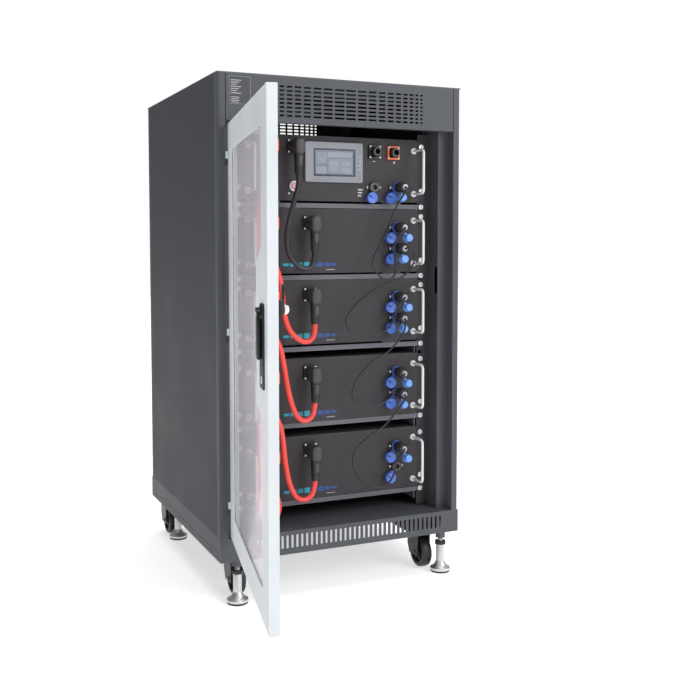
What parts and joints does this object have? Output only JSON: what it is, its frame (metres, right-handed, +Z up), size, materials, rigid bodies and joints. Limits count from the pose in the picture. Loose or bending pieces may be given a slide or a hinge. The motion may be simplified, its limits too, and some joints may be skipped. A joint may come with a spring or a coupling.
{
  "type": "rack cabinet battery pack",
  "caption": "Upright rack cabinet battery pack: a control unit above stacked battery modules linked by cables, behind a framed glass door, on casters and levelling feet.",
  "frame": {"origin": "floor level, below the middle of the cabinet body", "axes": "+Z up, +X to the right seen from the front, +Y to the back; the door is at the -Y side"},
  "size_m": [0.6892, 1.1929, 1.162],
  "materials": {
    "cabinet_paint": "fine textured powder coat",
    "rack_black": "matt powder coat",
    "shelf_grey": "matt powder coat",
    "zinc": "bright zinc plate",
    "handle_silver": "satin",
    "black_plastic": "matt",
    "orange_plastic": "matt",
    "blue_plastic": "satin",
    "black_cable": "matt",
    "red_cable": "satin",
    "bezel_grey": "satin",
    "screen_glass": "glossy",
    "button_white": "glossy",
    "board_green": "satin",
    "cell_can": "wrapped",
    "copper": "bright",
    "door_white": "smooth powder coat",
    "door_glass": "tinted",
    "gasket_black": "matt",
    "fork_black": "satin black",
    "wheel_black": "matt"
  },
  "bodies": {
    "cabinet": {"base_frame": "cabinet_paint", "roof_panel": "cabinet_paint", "side_panel_left": "cabinet_paint", "side_panel_right": "cabinet_paint", "rear_panel": "cabinet_paint", "corner_posts": "cabinet_paint", "header_panel": "cabinet_paint", "rack_rails": "rack_black", "module_shelves": "shelf_grey", "rack_screws": "zinc", "hinge_brackets": "zinc", "control_unit_case": "rack_black", "control_unit_front": "rack_black", "control_unit_contactors": "black_plastic", "circuit_boards": "board_green", "hmi_bezel": "bezel_grey", "hmi_screen": "screen_glass", "module_case_1": "rack_black", "module_case_2": "rack_black", "module_case_3": "rack_black", "module_case_4": "rack_black", "module_fronts": "rack_black", "battery_cells": "cell_can", "busbars": "copper", "handles": "handle_silver", "power_sockets": "black_plastic", "negative_plugs": "black_plastic", "positive_plugs": "orange_plastic", "comm_sockets": "black_plastic", "comm_plugs": "black_plastic", "dust_caps": "blue_plastic", "cable_negative": "black_cable", "cable_link_1_2": "red_cable", "cable_link_2_3": "red_cable", "cable_link_3_4": "red_cable", "cable_positive": "red_cable", "cable_comm_1": "black_cable", "cable_comm_2": "black_cable", "cable_comm_3": "black_cable", "cable_comm_4": "black_cable", "caster_plates": "zinc"},
    "door": {"door_frame": "door_white", "door_glass": "door_glass", "door_gasket": "gasket_black", "lock_escutcheon": "black_plastic"},
    "lock_cam": {"lock_cam": "zinc"},
    "lock_lever": {"lock_lever": "black_plastic"},
    "power_button": {"power_button": "button_white"},
    "fork_front_left": {"fork_front_left": "fork_black"},
    "fork_front_right": {"fork_front_right": "fork_black"},
    "fork_rear_left": {"fork_rear_left": "fork_black"},
    "fork_rear_right": {"fork_rear_right": "fork_black"},
    "wheel_front_left": {"wheel_front_left": "wheel_black"},
    "wheel_front_right": {"wheel_front_right": "wheel_black"},
    "wheel_rear_left": {"wheel_rear_left": "wheel_black"},
    "wheel_rear_right": {"wheel_rear_right": "wheel_black"},
    "foot_front_left": {"foot_front_left": "zinc"},
    "foot_front_right": {"foot_front_right": "zinc"},
    "foot_rear_left": {"foot_rear_left": "zinc"},
    "foot_rear_right": {"foot_rear_right": "zinc"}
  },
  "joints": [
    {"name": "door_hinge", "type": "hinge", "parent": "cabinet", "child": "door", "pos_m": [-0.2792, -0.3219, 0.597], "axis": [0, 0, 1], "range_deg": [-28, 101.35]},
    {"name": "lock_turn", "type": "hinge", "parent": "door", "child": "lock_cam", "pos_m": [-0.37819, -0.81506, 0.687], "axis": [0.9804, -0.1968, 0], "range_deg": [0, 90]},
    {"name": "lever_lift", "type": "hinge", "parent": "lock_cam", "child": "lock_lever", "pos_m": [-0.38407, -0.81388, 0.687], "axis": [0.1968, 0.9804, 0], "range_deg": [0, 40]},
    {"name": "button_press", "type": "slide", "parent": "cabinet", "child": "power_button", "axis": [0, 1, 0], "range_m": [0, 0.003], "stiffness_N_per_m": 400, "springref_m": -0.002},
    {"name": "caster_swivel_front_left", "type": "hinge", "parent": "cabinet", "child": "fork_front_left", "pos_m": [-0.243, -0.225, 0.083], "axis": [0, 0, 1], "continuous": true},
    {"name": "wheel_spin_front_left", "type": "hinge", "parent": "fork_front_left", "child": "wheel_front_left", "pos_m": [-0.243, -0.253, 0.0385], "axis": [1, 0, 0], "continuous": true},
    {"name": "caster_swivel_front_right", "type": "hinge", "parent": "cabinet", "child": "fork_front_right", "pos_m": [0.232, -0.23, 0.083], "axis": [0, 0, 1], "continuous": true},
    {"name": "wheel_spin_front_right", "type": "hinge", "parent": "fork_front_right", "child": "wheel_front_right", "pos_m": [0.232, -0.258, 0.0385], "axis": [1, 0, 0], "continuous": true},
    {"name": "caster_swivel_rear_left", "type": "hinge", "parent": "cabinet", "child": "fork_rear_left", "pos_m": [-0.262, 0.293, 0.083], "axis": [0, 0, 1], "continuous": true},
    {"name": "wheel_spin_rear_left", "type": "hinge", "parent": "fork_rear_left", "child": "wheel_rear_left", "pos_m": [-0.262, 0.265, 0.0385], "axis": [1, 0, 0], "continuous": true},
    {"name": "caster_swivel_rear_right", "type": "hinge", "parent": "cabinet", "child": "fork_rear_right", "pos_m": [0.262, 0.293, 0.083], "axis": [0, 0, 1], "continuous": true},
    {"name": "wheel_spin_rear_right", "type": "hinge", "parent": "fork_rear_right", "child": "wheel_rear_right", "pos_m": [0.262, 0.265, 0.0385], "axis": [1, 0, 0], "continuous": true},
    {"name": "foot_height_front_left", "type": "slide", "parent": "cabinet", "child": "foot_front_left", "axis": [0, 0, 1], "range_m": [-0.015, 0.008]},
    {"name": "foot_height_front_right", "type": "slide", "parent": "cabinet", "child": "foot_front_right", "axis": [0, 0, 1], "range_m": [-0.015, 0.008]},
    {"name": "foot_height_rear_left", "type": "slide", "parent": "cabinet", "child": "foot_rear_left", "axis": [0, 0, 1], "range_m": [-0.015, 0.008]},
    {"name": "foot_height_rear_right", "type": "slide", "parent": "cabinet", "child": "foot_rear_right", "axis": [0, 0, 1], "range_m": [-0.015, 0.008]}
  ]
}
